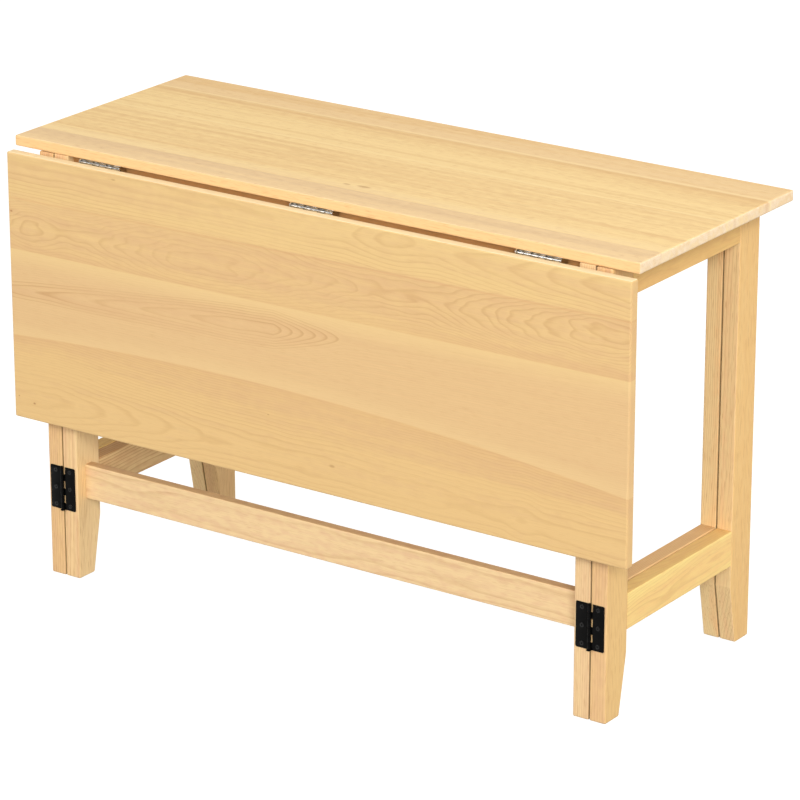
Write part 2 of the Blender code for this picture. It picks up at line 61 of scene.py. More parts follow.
def add_node(tree, kind, inputs=(), **settings):
    """Adds a node with its settings, fills its inputs with values or links, and returns its outputs."""
    made = tree.nodes.new("ShaderNode" + kind)
    for setting, value in settings.items():
        setattr(made, setting, value)
    for socket, value in dict(inputs).items():
        if isinstance(value, bpy.types.NodeSocket):
            tree.links.new(value, made.inputs[socket])
        else:
            made.inputs[socket].default_value = value
    return made.outputs


def linear(colour):
    """An sRGB hex colour as the linear RGBA that a socket takes."""
    parts = [int(colour[i : i + 2], 16) / 255 for i in (1, 3, 5)]
    return [c / 12.92 if c <= 0.04045 else ((c + 0.055) / 1.055) ** 2.4 for c in parts] + [1.0]


# White walls and ceiling fill the shadows, and next to nothing comes from under the floor
world = bpy.data.worlds.new("white_studio")
world.use_nodes = True
tree = world.node_tree
height = add_node(tree, "SeparateXYZ", {0: add_node(tree, "TexCoord")["Generated"]})["Z"]
glow = {"Value": height, "From Min": -0.12, "From Max": 0.12, "To Min": 0.2, "To Max": 0.48}
tree.links.new(add_node(tree, "MapRange", glow)[0], tree.nodes["Background"].inputs["Strength"])
tree.nodes["Background"].inputs["Color"].default_value = linear("#FFF6EA")
bpy.context.scene.world = world

WALL_RADIUS = 29.0  # m
FLOOR_WIDTH = 60.0  # m, so that its edges lie behind the wall
bpy.ops.object.select_all(action="DESELECT")
bpy.ops.mesh.primitive_plane_add(size=FLOOR_WIDTH, location=(0, 0, 0))
floor = bpy.context.object
floor.name = "studio_floor"
white_sweep = bpy.data.materials.new("matt_white_sweep")
white_sweep.use_nodes = True
paper = white_sweep.node_tree.nodes["Principled BSDF"]
paper.inputs["Base Color"].default_value = linear("#8C8C8C")
paper.inputs["Roughness"].default_value = 0.9
paper.inputs["Emission Color"].default_value = linear("#FFFFFF")
paper.inputs["Emission Strength"].default_value = 0.9
floor.data.materials.append(white_sweep)
bpy.ops.object.select_all(action="DESELECT")
bpy.ops.mesh.primitive_uv_sphere_add(radius=WALL_RADIUS, location=(0, 0, 0))
wall = bpy.context.object
wall.name = "studio_wall"
wall.data.materials.append(white_sweep)
wall.visible_glossy = False
# Floor and wall show white, but only the lamps and the world light the table
for backdrop in (floor, wall):
    backdrop.visible_diffuse = False
    backdrop.visible_shadow = False

for name, place, size, power in (
    ("camera_side_softbox", (6.8, -7.9, 4.9), 5.0, 940),
    ("front_softbox", (-1.5, -4.6, 2.6), 3.0, 74),
    ("right_softbox", (4.2, 1.2, 2.8), 2.6, 62),
    ("top_softbox", (0.3, 0.6, 4.2), 3.0, 18),
):
    lamp = bpy.data.objects.new(name, bpy.data.lights.new(name, "AREA"))
    lamp.data.size = size
    lamp.data.energy = power
    lamp.location = place
    lamp.rotation_euler = (-lamp.location).to_track_quat("-Z", "Y").to_euler()
    lamp.visible_camera = False
    # A polarising sheet over the big one keeps its glare off the top, where it would show from behind
    lamp.visible_glossy = name != "camera_side_softbox"
    bpy.context.scene.collection.objects.link(lamp)


# Fixed posts. Four legs of rubberwood, planed square, with lightly rounded edges and a sprayed
# coat of clear satin lacquer. The grain runs up the leg and shows as pale straw with pinker lines.
RING_WIDTH = 3.4  # mm of a year's growth
FIBRE = 1.7  # mm, three times the real width of a bundle of fibres, so that it shows
PORE = 1.0  # mm, three times a real pore, so that it shows
BOARD_SHIFT = 1370.0  # mm along every pattern from one board to the next, so that no two are alike
LATE_START, LATE_END = 0.55, 0.88  # shares of a year's growth between which the wood darkens most
EARLY_SHARE = 0.25  # share of the darkening that is spread over the whole year
UNFADED = (5000, 6000)  # mm from the heart, past any board: its rings are equally strong throughout
FADED_SHARE = 0.2  # share of a ring's strength that is left where it has faded
LATE_SHADE, PORE_SHADE, KNOT_SHADE = "#B87F4C", "#C08A58", "#9A5424"


def lacquered_rubberwood(
    name, grain, boards, knots=(), streaks=(), edges=("#F2CF98", 0.0), ends=("#E6BC8A", 0.45),
    bands=0.25, mottle=0.2, pores=0.3,
):
    """Sawn wood as the eye sees it: year rings cut at a slant, long tonal bands, fine fibres and pores.

    grain names the axes along the grain, across the board and through it, and every place is in mm.
    A line across the board is a place, a lean and a bow. Each board gives the line where it starts,
    its heart line and how deep that lies, how far its rings waver, how strong they are and where they
    fade, and its colours. Pink is most at one distance from the heart and none at another. A tongue
    is where the rings begin to close in, where they end, and how many close. An eye is its middle, its
    half length and its rings. A streak is a line, how far it reaches before and beyond that line, its
    strength and its shade. A knot is a spot, a half width, its length in widths and its strength.
    edges and ends are the shades of a board's long edges and of its sawn ends, and their strengths.
    """
    material = bpy.data.materials.new(name)
    material.use_nodes = True
    tree = material.node_tree
    shader = tree.nodes["Principled BSDF"]
    place = add_node(tree, "TexCoord")
    mm = add_node(tree, "VectorMath", {0: place["Object"], "Scale": 1000.0}, operation="SCALE")["Vector"]
    axes = add_node(tree, "SeparateXYZ", {0: mm})
    along, across, through = (axes[letter] for letter in grain)

    def beside(middle, lean, bow):
        """How far the spot lies from a line that leans and bows along the grain."""
        bend = add_node(tree, "Math", {0: along, 1: bow, 2: lean}, operation="MULTIPLY_ADD")[0]
        bend = add_node(tree, "Math", {0: along, 1: bend, 2: middle}, operation="MULTIPLY_ADD")[0]
        return add_node(tree, "Math", {0: across, 1: bend}, operation="SUBTRACT")[0]

    # Each board after a seam takes its own stretch of every pattern
    steps = [
        add_node(tree, "Math", {0: beside(*board["start"]), 1: 0.0}, operation="GREATER_THAN")[0]
        for board in boards[1:]
    ]
    shifted = along
    for step in steps:
        shifted = add_node(tree, "Math", {0: step, 1: BOARD_SHIFT, 2: shifted}, operation="MULTIPLY_ADD")[0]
    sawn = add_node(tree, "CombineXYZ", {0: shifted, 1: across, 2: through})[0]
    pattern = {}
    # Length along the grain and width across it, in mm
    for field, length, width, detail in (
        ("drift", 620, 240, 1.0),
        ("swirl", 170, 45, 1.0),
        ("ripple", 60, 20, 1.0),
        ("patches", 420, 75, 1.0),
        ("mottle", 22, 10, 1.0),
        ("bands", 800, 15, 2.0),
        ("fibres", 160, FIBRE, 2.0),
        ("pores", 20, PORE, 0.0),
    ):
        spread = (1 / length, 1 / width, 1 / width)
        scaled = add_node(tree, "VectorMath", {0: sawn, 1: spread}, operation="MULTIPLY")["Vector"]
        pattern[field] = add_node(tree, "TexNoise", {"Vector": scaled, "Scale": 1.0, "Detail": detail})[0]

    # Year rings: the distance from the heart line, which wavers, picked board by board
    growth = contrast = tint = sap = heartwood = None
    for number, board in enumerate(boards):
        spot = add_node(tree, "CombineXYZ", {1: beside(*board["heart"]), 2: through})[0]
        deep = (0, 0, board["depth"])
        radius = add_node(tree, "VectorMath", {0: spot, 1: deep}, operation="DISTANCE")["Value"]
        for low, high, rings in board.get("tongues", ()):
            taper = {"Value": along, "From Min": low, "From Max": high, "To Max": rings * RING_WIDTH}
            taper = add_node(tree, "MapRange", taper)[0]
            radius = add_node(tree, "Math", {0: radius, 1: taper}, operation="ADD")[0]
        for middle, half, rings in board.get("eyes", ()):
            off = add_node(tree, "Math", {0: along, 1: middle}, operation="SUBTRACT")[0]
            off = add_node(tree, "Math", {0: off}, operation="ABSOLUTE")[0]
            hollow = {"Value": off, "From Max": half, "To Min": rings * RING_WIDTH, "To Max": 0.0}
            hollow = add_node(tree, "MapRange", hollow, interpolation_type="SMOOTHSTEP")[0]
            radius = add_node(tree, "Math", {0: radius, 1: hollow}, operation="SUBTRACT")[0]
        for field, usual in (("drift", 14.0), ("swirl", 6.0), ("ripple", 1.5)):
            waver = add_node(tree, "Math", {0: pattern[field], 1: 0.5}, operation="SUBTRACT")[0]
            waver = {0: waver, 1: board.get(field, usual), 2: radius}
            radius = add_node(tree, "Math", waver, operation="MULTIPLY_ADD")[0]
        low, high = board.get("figure", UNFADED)
        fade = {"Value": radius, "From Min": low, "From Max": high, "To Min": board["lines"]}
        strong = add_node(tree, "MapRange", {**fade, "To Max": board["lines"] * FADED_SHARE})[0]
        near, far, most = board["pink"]
        fade = {"Value": radius, "From Min": near, "From Max": far, "To Min": most, "To Max": 0.0}
        pink = add_node(tree, "MapRange", fade, interpolation_type="SMOOTHSTEP")[0]
        if number == 0:
            growth, contrast, tint = radius, strong, pink
            sap, heartwood = linear(board["sap"]), linear(board["heartwood"])
            continue
        step = steps[number - 1]
        growth = add_node(tree, "Mix", {0: step, 2: growth, 3: radius})[0]
        contrast = add_node(tree, "Mix", {0: step, 2: contrast, 3: strong})[0]
        tint = add_node(tree, "Mix", {0: step, 2: tint, 3: pink})[0]
        sap = add_node(tree, "Mix", {0: step, 6: sap, 7: linear(board["sap"])}, data_type="RGBA")[2]
        deeper = {0: step, 6: heartwood, 7: linear(board["heartwood"])}
        heartwood = add_node(tree, "Mix", deeper, data_type="RGBA")[2]
    year = add_node(tree, "Math", {0: growth, 1: 1 / RING_WIDTH}, operation="MULTIPLY")[0]
    season = add_node(tree, "Math", {0: year}, operation="FRACT")[0]
    summer = {"Value": season, "From Min": LATE_START, "From Max": LATE_END, "To Max": 1 - EARLY_SHARE}
    rise = add_node(tree, "MapRange", summer, interpolation_type="SMOOTHSTEP")[0]
    rise = add_node(tree, "Math", {0: season, 1: EARLY_SHARE, 2: rise}, operation="MULTIPLY_ADD")[0]
    winter = {"Value": season, "From Min": LATE_END, "To Min": 1.0, "To Max": 0.0}
    fall = add_node(tree, "MapRange", winter)[0]
    late = add_node(tree, "Math", {0: rise, 1: fall}, operation="MULTIPLY")[0]
    where = {"Value": pattern["patches"], "From Min": 0.38, "From Max": 0.62, "To Min": 0.45}
    patch = add_node(tree, "MapRange", where)[0]
    late = add_node(tree, "Math", {0: late, 1: patch}, operation="MULTIPLY")[0]
    late = add_node(tree, "Math", {0: late, 1: contrast}, operation="MULTIPLY")[0]

    # Colour: straw sapwood, pinker towards the heart, in long bands, with browner late wood
    for field, most in (("bands", bands), ("mottle", mottle)):
        sway = {"Value": pattern[field], "From Min": 0.3, "From Max": 0.7, "To Min": -most, "To Max": most}
        tint = add_node(tree, "Math", {0: tint, 1: add_node(tree, "MapRange", sway)[0]}, operation="ADD")[0]
    tint = add_node(tree, "Clamp", {"Value": tint, "Min": 0.0, "Max": 1.0})[0]
    colour = add_node(tree, "Mix", {0: tint, 6: sap, 7: heartwood}, data_type="RGBA")[2]
    # Sawn ends drink more lacquer; the long edges' shade also serves as painted light and shade on faces
    facing = add_node(tree, "SeparateXYZ", {0: place["Normal"]})
    for axis, (shade, most), uneven in ((grain[0], ends, 0.6), (grain[1], edges, 0.1)):
        patchy = {"Value": pattern["mottle"], "From Min": 0.35, "From Max": 0.65}
        patchy = add_node(tree, "MapRange", {**patchy, "To Min": most * (1 - uneven), "To Max": most})[0]
        turned = add_node(tree, "Math", {0: facing[axis]}, operation="ABSOLUTE")[0]
        turned = {"Value": turned, "From Min": 0.6, "From Max": 0.9, "To Max": patchy}
        turned = add_node(tree, "MapRange", turned)[0]
        colour = add_node(tree, "Mix", {0: turned, 6: colour, 7: linear(shade)}, data_type="RGBA")[2]
    colour = add_node(tree, "Mix", {0: late, 6: colour, 7: linear(LATE_SHADE)}, data_type="RGBA")[2]
    threads = {"Value": pattern["fibres"], "From Min": 0.25, "From Max": 0.75}
    fibre = add_node(tree, "MapRange", {**threads, "To Min": 0.97, "To Max": 1.025})[0]
    colour = add_node(tree, "VectorMath", {0: colour, "Scale": fibre}, operation="SCALE")["Vector"]
    pore = {"Value": pattern["pores"], "From Min": 0.62, "From Max": 0.74, "To Max": pores}
    pore = add_node(tree, "MapRange", pore)[0]
    colour = add_node(tree, "Mix", {0: pore, 6: colour, 7: linear(PORE_SHADE)}, data_type="RGBA")[2]
    for line, (before, beyond), strength, shade in streaks:
        off = beside(*line)
        near = {"Value": off, "From Max": beyond, "To Min": strength, "To Max": 0.0}
        near = add_node(tree, "MapRange", near, interpolation_type="SMOOTHSTEP")[0]
        rise = {"Value": off, "From Min": -before, "From Max": 0.0}
        rise = add_node(tree, "MapRange", rise, interpolation_type="SMOOTHSTEP")[0]
        near = add_node(tree, "Math", {0: near, 1: rise}, operation="MULTIPLY")[0]
        colour = add_node(tree, "Mix", {0: near, 6: colour, 7: linear(shade)}, data_type="RGBA")[2]
    for spot, width, stretch, strength in knots:
        local = add_node(tree, "CombineXYZ", {0: along, 1: across, 2: through})[0]
        squeeze = (1 / stretch, 1, 1)
        squeezed = add_node(tree, "VectorMath", {0: local, 1: squeeze}, operation="MULTIPLY")["Vector"]
        at = (spot[0] / stretch, spot[1], spot[2])
        away = add_node(tree, "VectorMath", {0: squeezed, 1: at}, operation="DISTANCE")["Value"]
        dark = {"Value": away, "From Min": width * 0.3, "From Max": width, "To Min": strength, "To Max": 0.0}
        dark = add_node(tree, "MapRange", dark, interpolation_type="SMOOTHSTEP")[0]
        colour = add_node(tree, "Mix", {0: dark, 6: colour, 7: linear(KNOT_SHADE)}, data_type="RGBA")[2]
    tree.links.new(colour, shader.inputs["Base Color"])

    # The lacquer: satin, with fibres and open pores just showing through it
    gloss = add_node(tree, "MapRange", {**threads, "To Min": 0.48, "To Max": 0.62})[0]
    tree.links.new(gloss, shader.inputs["Roughness"])
    relief = add_node(tree, "Math", {0: pattern["fibres"], 1: pore}, operation="SUBTRACT")[0]
    bump = add_node(tree, "Bump", {"Height": relief, "Strength": 0.15, "Distance": 0.0002})[0]
    tree.links.new(bump, shader.inputs["Normal"])
    shader.inputs["Specular IOR Level"].default_value = 0.16
    shader.inputs["Coat Weight"].default_value = 0.03
    shader.inputs["Coat Roughness"].default_value = 0.3
    return material


def dress(node, material):
    """Gives a CAD node its finish."""
    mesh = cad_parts[node].data
    mesh.materials.clear()
    mesh.materials.append(material)


# A dark line where a fixed post and a gate's post meet: painted shade in the gap between them
PARTING = 515.0  # mm from the middle of the table
PARTING_SHADE = ((2.0, 2.0), 0.9, "#3E2818")
post_figure = {"bands": 0.5, "pores": 0.34}
# The last column is the shade of the posts' side faces: painted light and shade
for corner, centre, depth, pink, sap, heartwood, side_light_and_shade in (
    ("front_left", -447, -300, (118, 96, 0.6), "#F5D29C", "#EABF92", "#FFE0A6"),
    ("front_right", 585, -262, (86, 112, 0.6), "#F3D29F", "#E6BD92", "#F0CC96"),
    ("rear_left", -425, 105, (112, 80, 0.5), "#FBD497", "#EDBD8B", "#F6D094"),
    # Rear right colours are almost white: painted light on fronts that stand in shade under the top
    ("rear_right", 580, 112, (80, 106, 0.7), "#FFE0A6", "#FFD196", "#F6D094"),
):
    board = {"heart": (centre, 0.012, 0), "depth": depth, "lines": 0.35, "pink": pink}
    board |= {"sap": sap, "heartwood": heartwood}
    gap_shade = ((math.copysign(PARTING, centre), 0, 0), *PARTING_SHADE)
    wood = lacquered_rubberwood(
        "rubberwood_post_" + corner, "ZXY", [board], streaks=[gap_shade], edges=(side_light_and_shade, 0.7), **post_figure
    )
    dress("post_" + corner, wood)


# Aprons and stretchers. Flat rails tenoned and glued into the posts, with a glue block screwed
# across each corner behind the aprons. Same lacquered rubberwood, with the grain along the rail.
# The last column darkens each rail's top and bottom faces: painted shade under the table, darkest on the
# front stretcher and lightest on the right stretcher, where light falls
for rail, grain, centre, depth, lines, mottle, sap, heartwood, edge in (
    # The front apron is darker all over: painted shade in the narrow gap behind the leaf
    ("apron_front", "XZY", 640, -290, 0.3, 0.2, "#C8955D", "#B07D48", "#C69C6C"),
    ("apron_rear", "XZY", 760, 320, 0.3, 0.2, "#F1D2A0", "#E6BC94", "#C69C6C"),
    ("stretcher_front", "XZY", 165, -90, 0.3, 0.35, "#F3D4A2", "#E8BE96", "#B08658"),
    ("apron_left", "YZX", 640, -590, 0.3, 0.2, "#F1D2A0", "#E6BC94", "#C69C6C"),
    ("apron_right", "YZX", 760, 590, 0.3, 0.2, "#F1D2A0", "#E6BC94", "#C69C6C"),
    ("stretcher_left", "YZX", 120, -560, 0.75, 0.3, "#F1D096", "#DFB380", "#C69C6C"),
    ("stretcher_right", "YZX", 210, 560, 0.6, 0.3, "#EDCB92", "#DDB27E", "#E6C08E"),
):
    board = {"heart": (centre, 0.02, 0), "depth": depth, "lines": lines, "pink": (50, 140, 0.45)}
    board |= {"sap": sap, "heartwood": heartwood}
    wood = lacquered_rubberwood(
        "rubberwood_" + rail, grain, [board], edges=(edge, 0.65), mottle=mottle, pores=0.2
    )
    dress(rail, wood)
for corner in ("front_left", "front_right", "rear_left", "rear_right"):
    board = {"heart": (0, 0, 0), "depth": 60, "lines": 0.3, "pink": (400, 900, 0.3)}
    board |= {"sap": "#EBC48E", "heartwood": "#DDAF80"}
    dress("corner_block_" + corner, lacquered_rubberwood("rubberwood_block_" + corner, "ZXY", [board]))


# Gates. A leg frame at each end, two posts joined by a top and a bottom rail, which closes
# against the fixed frame. Same wood, with the posts' side faces painted a little yellower or darker: painted
# light and shade.
for hand, side in (("left", -1), ("right", 1)):
    # The last column is the shade of the posts' side faces: painted light and shade
    for post, centre, depth, pink, sap, heartwood, side_light_and_shade in (
        ("hinge_post", 462, -282, (104, 132, 0.6), "#F3CD92", "#E4B98B", "#EFC986"),
        # Swing post colours are almost white: painted light on rear fronts that stand in shade under the top
        ("swing_post", 606, 290, (90, 165, 0.5), "#FFDEA4", "#FED29C", "#ECC27B"),
    ):
        board = {"heart": (side * centre, 0.012, 0), "depth": depth, "lines": 0.35, "pink": pink}
        board |= {"sap": sap, "heartwood": heartwood}
        # Painted shade down the gap at the parting, as on the fixed posts
        gap_shade = ((side * PARTING, 0, 0), *PARTING_SHADE)
        name = f"gate_{hand}_{post}"
        wood = lacquered_rubberwood(
            "rubberwood_" + name, "ZXY", [board], streaks=[gap_shade], edges=(side_light_and_shade, 0.75), **post_figure
        )
        dress(name, wood)
    for rail, centre, sap, heartwood in (
        ("top_rail", 690, "#F2CF82", "#EABE7A"),
        ("bottom_rail", 160, "#FFE293", "#F9D08B"),
    ):
        board = {"heart": (centre, 0.06, 0), "depth": side * 510, "lines": 0.24, "swirl": 14.0}
        board |= {"sap": sap, "heartwood": heartwood, "pink": (35, 50, 0.7)}
        name = f"gate_{hand}_{rail}"
        wood = lacquered_rubberwood(
            "rubberwood_" + name, "YZX", [board], edges=("#DDB474", 0.6), pores=0.15
        )
        dress(name, wood)


# Gate hinges. Steel butt hinges with six knuckles rolled round a pin, powder-coated black, one low
# and one high on each pair of posts. Three countersunk cross-head screws hold each plate.
def steel_finish(name, speck, detail, shades, gloss, relief, specular=0.5, metallic=0.0):
    """A coat or plating on steel, whose specks of so many mm vary its shade, its gloss and its height.

    gloss is the least and the most roughness, and relief is the bump's strength and its height in mm.
    """
    material = bpy.data.materials.new(name)
    material.use_nodes = True
    tree = material.node_tree
    shader = tree.nodes["Principled BSDF"]
    place = add_node(tree, "TexCoord")["Object"]
    specks = add_node(tree, "TexNoise", {"Vector": place, "Scale": 1000 / speck, "Detail": detail})[0]
    spread = {"Value": specks, "From Min": 0.3, "From Max": 0.7}
    tone = add_node(tree, "MapRange", spread)[0]
    dark, light = (linear(shade) for shade in shades)
    colour = add_node(tree, "Mix", {0: tone, 6: dark, 7: light}, data_type="RGBA")[2]
    tree.links.new(colour, shader.inputs["Base Color"])
    smooth, rough = gloss
    roughness = add_node(tree, "MapRange", {**spread, "To Min": smooth, "To Max": rough})[0]
    tree.links.new(roughness, shader.inputs["Roughness"])
    strength, rise = relief
    bump = add_node(tree, "Bump", {"Height": specks, "Strength": strength, "Distance": rise / 1000})[0]
    tree.links.new(bump, shader.inputs["Normal"])
    shader.inputs["Specular IOR Level"].default_value = specular
    shader.inputs["Metallic"].default_value = metallic
    return material


# Grains of powder melt to about 0.5 mm: a fine orange peel that breaks up the gloss
black_coat = steel_finish(
    "black_powder_coat", speck=0.5, detail=2.0, shades=("#030303", "#070707"),
    gloss=(0.26, 0.36), relief=(0.3, 0.05), specular=0.06,
)
# Screws of blackened steel with turning marks of about 0.3 mm, smoother than the coat, so that
# their rims catch the light
black_screw = steel_finish(
    "blackened_steel_screw", speck=0.3, detail=1.0, shades=("#0A0A0A", "#161615"),
    gloss=(0.16, 0.26), relief=(0.2, 0.03), specular=0.25,
)


def choose(kind, test):
    """In edit mode, selects only the faces or edges whose middle and direction pass a test."""
    bpy.ops.mesh.select_mode(type=kind)
    bpy.ops.mesh.select_all(action="DESELECT")
    shape = bmesh.from_edit_mesh(bpy.context.object.data)
    if kind == "FACE":
        chosen = [face for face in shape.faces if test(face.calc_center_median(), face.normal)]
    else:
        ends = [(edge, edge.verts[0].co, edge.verts[1].co) for edge in shape.edges]
        chosen = [edge for edge, a, b in ends if test((a + b) / 2, (b - a).normalized())]
    for element in chosen:
        element.select_set(True)
    bmesh.update_edit_mesh(bpy.context.object.data)


def cut_away(shape, cutter):
    """Takes a cutter's shape out of a piece, and clears the cutter away."""
    cut = shape.modifiers.new("cut", "BOOLEAN")
    cut.object = cutter
    bpy.ops.object.select_all(action="DESELECT")
    bpy.context.view_layer.objects.active = shape
    shape.select_set(True)
    bpy.ops.object.modifier_apply(modifier=cut.name)
    bpy.data.objects.remove(cutter)


TOUCH = 1e-6  # m, under which two points are one
HALF_GAP = 0.00035  # m, half of the clearance between two knuckles
ROLL_TURN = math.radians(290)  # how far a tab goes round the pin
CORNER = 0.0025  # m, radius of a plate's outer corners
SEAT_RIM, SEAT_THROAT, SEAT_DEPTH = 0.0042, 0.0022, 0.002  # m, radii and depth of a screw's seat
SEAT_PROUD = 0.0002  # m, how far outside the plate the countersink starts
PRESSED_EDGE = 0.0002  # m, rounding of all edges


def rolled_plate(side, length, reach, slot, sheet, roll, count, first, screw_at, pitch):
    """A hinge plate as it is pressed: flat sheet with round corners, its tabs rolled round the pin.

    The pin lies along Z through the origin, the plate reaches to one side in X, and the wood is at +Y.
    """
    knuckle = length / count
    spans = []
    for index in range(first, count, 2):
        low = index * knuckle - length / 2 + (HALF_GAP if index else 0)
        high = (index + 1) * knuckle - length / 2 - (HALF_GAP if index < count - 1 else 0)
        spans.append((low, high))
    bpy.ops.object.select_all(action="DESELECT")
    bpy.ops.mesh.primitive_cube_add(size=1)
    plate = bpy.context.object
    bpy.ops.object.mode_set(mode="EDIT")
    bpy.ops.transform.resize(value=(reach - slot, sheet, length))
    bpy.ops.transform.translate(value=((reach + slot) / 2, roll - sheet / 2, 0))
    for height in [end for span in spans for end in span if abs(end) < length / 2 - HALF_GAP / 2]:
        bpy.ops.mesh.select_all(action="SELECT")
        bpy.ops.mesh.bisect(plane_co=(0, 0, height), plane_no=(0, 0, 1), threshold=TOUCH)
    choose("FACE", lambda at, out: out.x < -0.9 and any(low < at.z < high for low, high in spans))
    bpy.ops.mesh.extrude_region_move(TRANSFORM_OT_translate={"value": (-slot, 0, 0)})
    bpy.ops.mesh.spin(steps=16, angle=ROLL_TURN, center=(0, 0, 0), axis=(0, 0, 1))
    bpy.ops.mesh.select_all(action="SELECT")
    bpy.ops.mesh.remove_doubles(threshold=TOUCH)
    end = length / 2 - TOUCH
    choose("EDGE", lambda at, way: at.x > reach - TOUCH and abs(at.z) > end and abs(way.y) > 0.9)
    bpy.ops.mesh.bevel(offset=CORNER, segments=5, affect="EDGES")
    bpy.ops.mesh.select_all(action="SELECT")
    bpy.ops.transform.resize(value=(side, 1, 1), center_override=(0, 0, 0))
    bpy.ops.mesh.normals_make_consistent(inside=False)
    bpy.ops.object.mode_set(mode="OBJECT")
    for step in (-1, 0, 1):
        bpy.ops.object.select_all(action="DESELECT")
        bpy.ops.mesh.primitive_cone_add(
            vertices=28,
            radius1=SEAT_RIM,
            radius2=SEAT_THROAT,
            depth=SEAT_DEPTH,
            location=(side * screw_at, roll - sheet + SEAT_DEPTH / 2 - SEAT_PROUD, step * pitch),
            rotation=(math.radians(-90), 0, 0),
        )
        cut_away(plate, bpy.context.object)
    soft = plate.modifiers.new("pressed_edges", "BEVEL")
    soft.width = PRESSED_EDGE
    soft.segments = 2
    soft.limit_method = "ANGLE"
    soft.angle_limit = math.radians(45)
    bpy.ops.object.modifier_apply(modifier=soft.name)
    bpy.ops.object.shade_smooth_by_angle(angle=math.radians(40))
    return plate


HEAD_RADIUS, HEAD_RIM, HEAD_CONE = 0.0036, 0.0004, 0.0018  # m, a screw's head, and the cone under its rim
POINT = 0.0034  # m
CROSS_REACH, CROSS_WIDTH, CROSS_DEPTH = 0.0042, 0.001, 0.0016  # m, block that cuts an arm of the cross


def countersunk_screws(side, length, screw_at, pitch, surface):
    """Three cross-head screws, driven into the wood at +Y until their heads fill their seats."""
    bpy.ops.object.select_all(action="DESELECT")
    bpy.ops.mesh.primitive_cylinder_add(vertices=28, radius=HEAD_RADIUS, depth=HEAD_RIM)
    screw = bpy.context.object
    bpy.ops.object.mode_set(mode="EDIT")
    choose("FACE", lambda at, out: out.z < -0.9)
    shank = length - HEAD_RIM / 2 - HEAD_CONE - POINT
    for drop, narrow in ((HEAD_CONE, 0.47), (shank, 1.0), (POINT, 0.2)):
        bpy.ops.mesh.extrude_region_move(TRANSFORM_OT_translate={"value": (0, 0, -drop)})
        bpy.ops.transform.resize(value=(narrow, narrow, 1))
    # The head is slightly domed
    choose("FACE", lambda at, out: out.z > 0.9)
    for inward, rise in ((0.0004, 0.0003), (0.0008, 0.00014), (0.0008, 0.00004)):
        bpy.ops.mesh.inset(thickness=inward)
        bpy.ops.transform.translate(value=(0, 0, rise))
    bpy.ops.object.mode_set(mode="OBJECT")
    for arm in ((CROSS_REACH, CROSS_WIDTH, CROSS_DEPTH), (CROSS_WIDTH, CROSS_REACH, CROSS_DEPTH)):
        bpy.ops.object.select_all(action="DESELECT")
        bpy.ops.mesh.primitive_cube_add(size=1, location=(0, 0, HEAD_RIM / 2), scale=arm)
        cut_away(screw, bpy.context.object)
    bpy.ops.object.shade_smooth_by_angle(angle=math.radians(30))
    driven = Matrix.Rotation(math.radians(90), 4, "X")
    for step in (-1, 0, 1):
        copy = bpy.data.objects.new("screw", screw.data.copy())
        bpy.context.scene.collection.objects.link(copy)
        copy.data.transform(Matrix.Translation((side * screw_at, surface, step * pitch)) @ driven)
        copy.select_set(True)
        bpy.context.view_layer.objects.active = copy
    screw.select_set(False)
    bpy.data.objects.remove(screw)
    bpy.ops.object.join()
    return bpy.context.object


PIN_PROUD = 0.0003  # m, how far a pin stands out of the last knuckle, under its button


def hinge_pin(length, radius, button):
    """The pin on which the knuckles turn, with a low button at each end."""
    bpy.ops.object.select_all(action="DESELECT")
    bpy.ops.mesh.primitive_cylinder_add(vertices=24, radius=radius, depth=length + 2 * PIN_PROUD)
    pin = bpy.context.object
    bpy.ops.object.mode_set(mode="EDIT")
    for end in (-1, 1):
        choose("FACE", lambda at, out: out.z * end > 0.9)
        for rise, widen in ((0.0, button / radius), (0.0006, 1.0), (0.0005, 0.86), (0.0003, 0.6)):
            bpy.ops.mesh.extrude_region_move(TRANSFORM_OT_translate={"value": (0, 0, end * rise)})
            bpy.ops.transform.resize(value=(widen, widen, 1))
    bpy.ops.object.mode_set(mode="OBJECT")
    bpy.ops.object.shade_smooth_by_angle(angle=math.radians(40))
    return pin


def fit(shape, name, turn, body, slot, material, *stands_for):
    """Sets a copy of a finished shape in its place on the table."""
    piece = bpy.data.objects.new(name, shape.data.copy())
    bpy.context.scene.collection.objects.link(piece)
    piece.data.transform(turn)
    piece.data.materials.clear()
    piece.data.materials.append(material)
    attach(piece, body)
    if stands_for:
        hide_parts(*stands_for)


def middle_of(node):
    """The centre of a CAD node's box."""
    low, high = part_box(node)
    return Matrix.Translation([(a + b) / 2 for a, b in zip(low, high)])


gate_sizes = {"length": 0.0755, "reach": 0.0255, "slot": 0.0049, "sheet": 0.0011, "roll": 0.0028, "count": 6}
gate_screws = {"screw_at": 0.0142, "pitch": 0.030}
gate_face = gate_sizes["roll"] - gate_sizes["sheet"]
gate_plates = {
    side: rolled_plate(side, first=(1 - side) // 2, **gate_sizes, **gate_screws) for side in (-1, 1)
}
gate_fixings = {
    side: countersunk_screws(side, length=0.016, surface=gate_face, **gate_screws) for side in (-1, 1)
}
gate_pin = hinge_pin(gate_sizes["length"], radius=0.0014, button=0.0024)
for hand, outward in (("left", -1), ("right", 1)):
    for height in ("lower", "upper"):
        hinge = f"gate_{hand}_{height}_hinge"
        turn = middle_of(hinge + "_pin")
        fit(gate_pin, hinge + "_round_pin", turn, "frame", "black_steel", black_coat, hinge + "_pin")
        for owner, side, body in (("frame", -outward, "frame"), ("gate", outward, "gate_" + hand)):
            plate = f"{hinge}_{owner}_plate"
            fit(gate_plates[side], plate + "_rolled", turn, body, "black_steel", black_coat, plate)
            solids = [f"gate_{hand}_{owner}_screw_{n}" for n in (1, 2, 3)] if height == "lower" else []
            fit(gate_fixings[side], plate + "_screws", turn, body, "black_steel", black_screw, *solids)
for shape in (gate_pin, *gate_plates.values(), *gate_fixings.values()):
    bpy.data.objects.remove(shape)


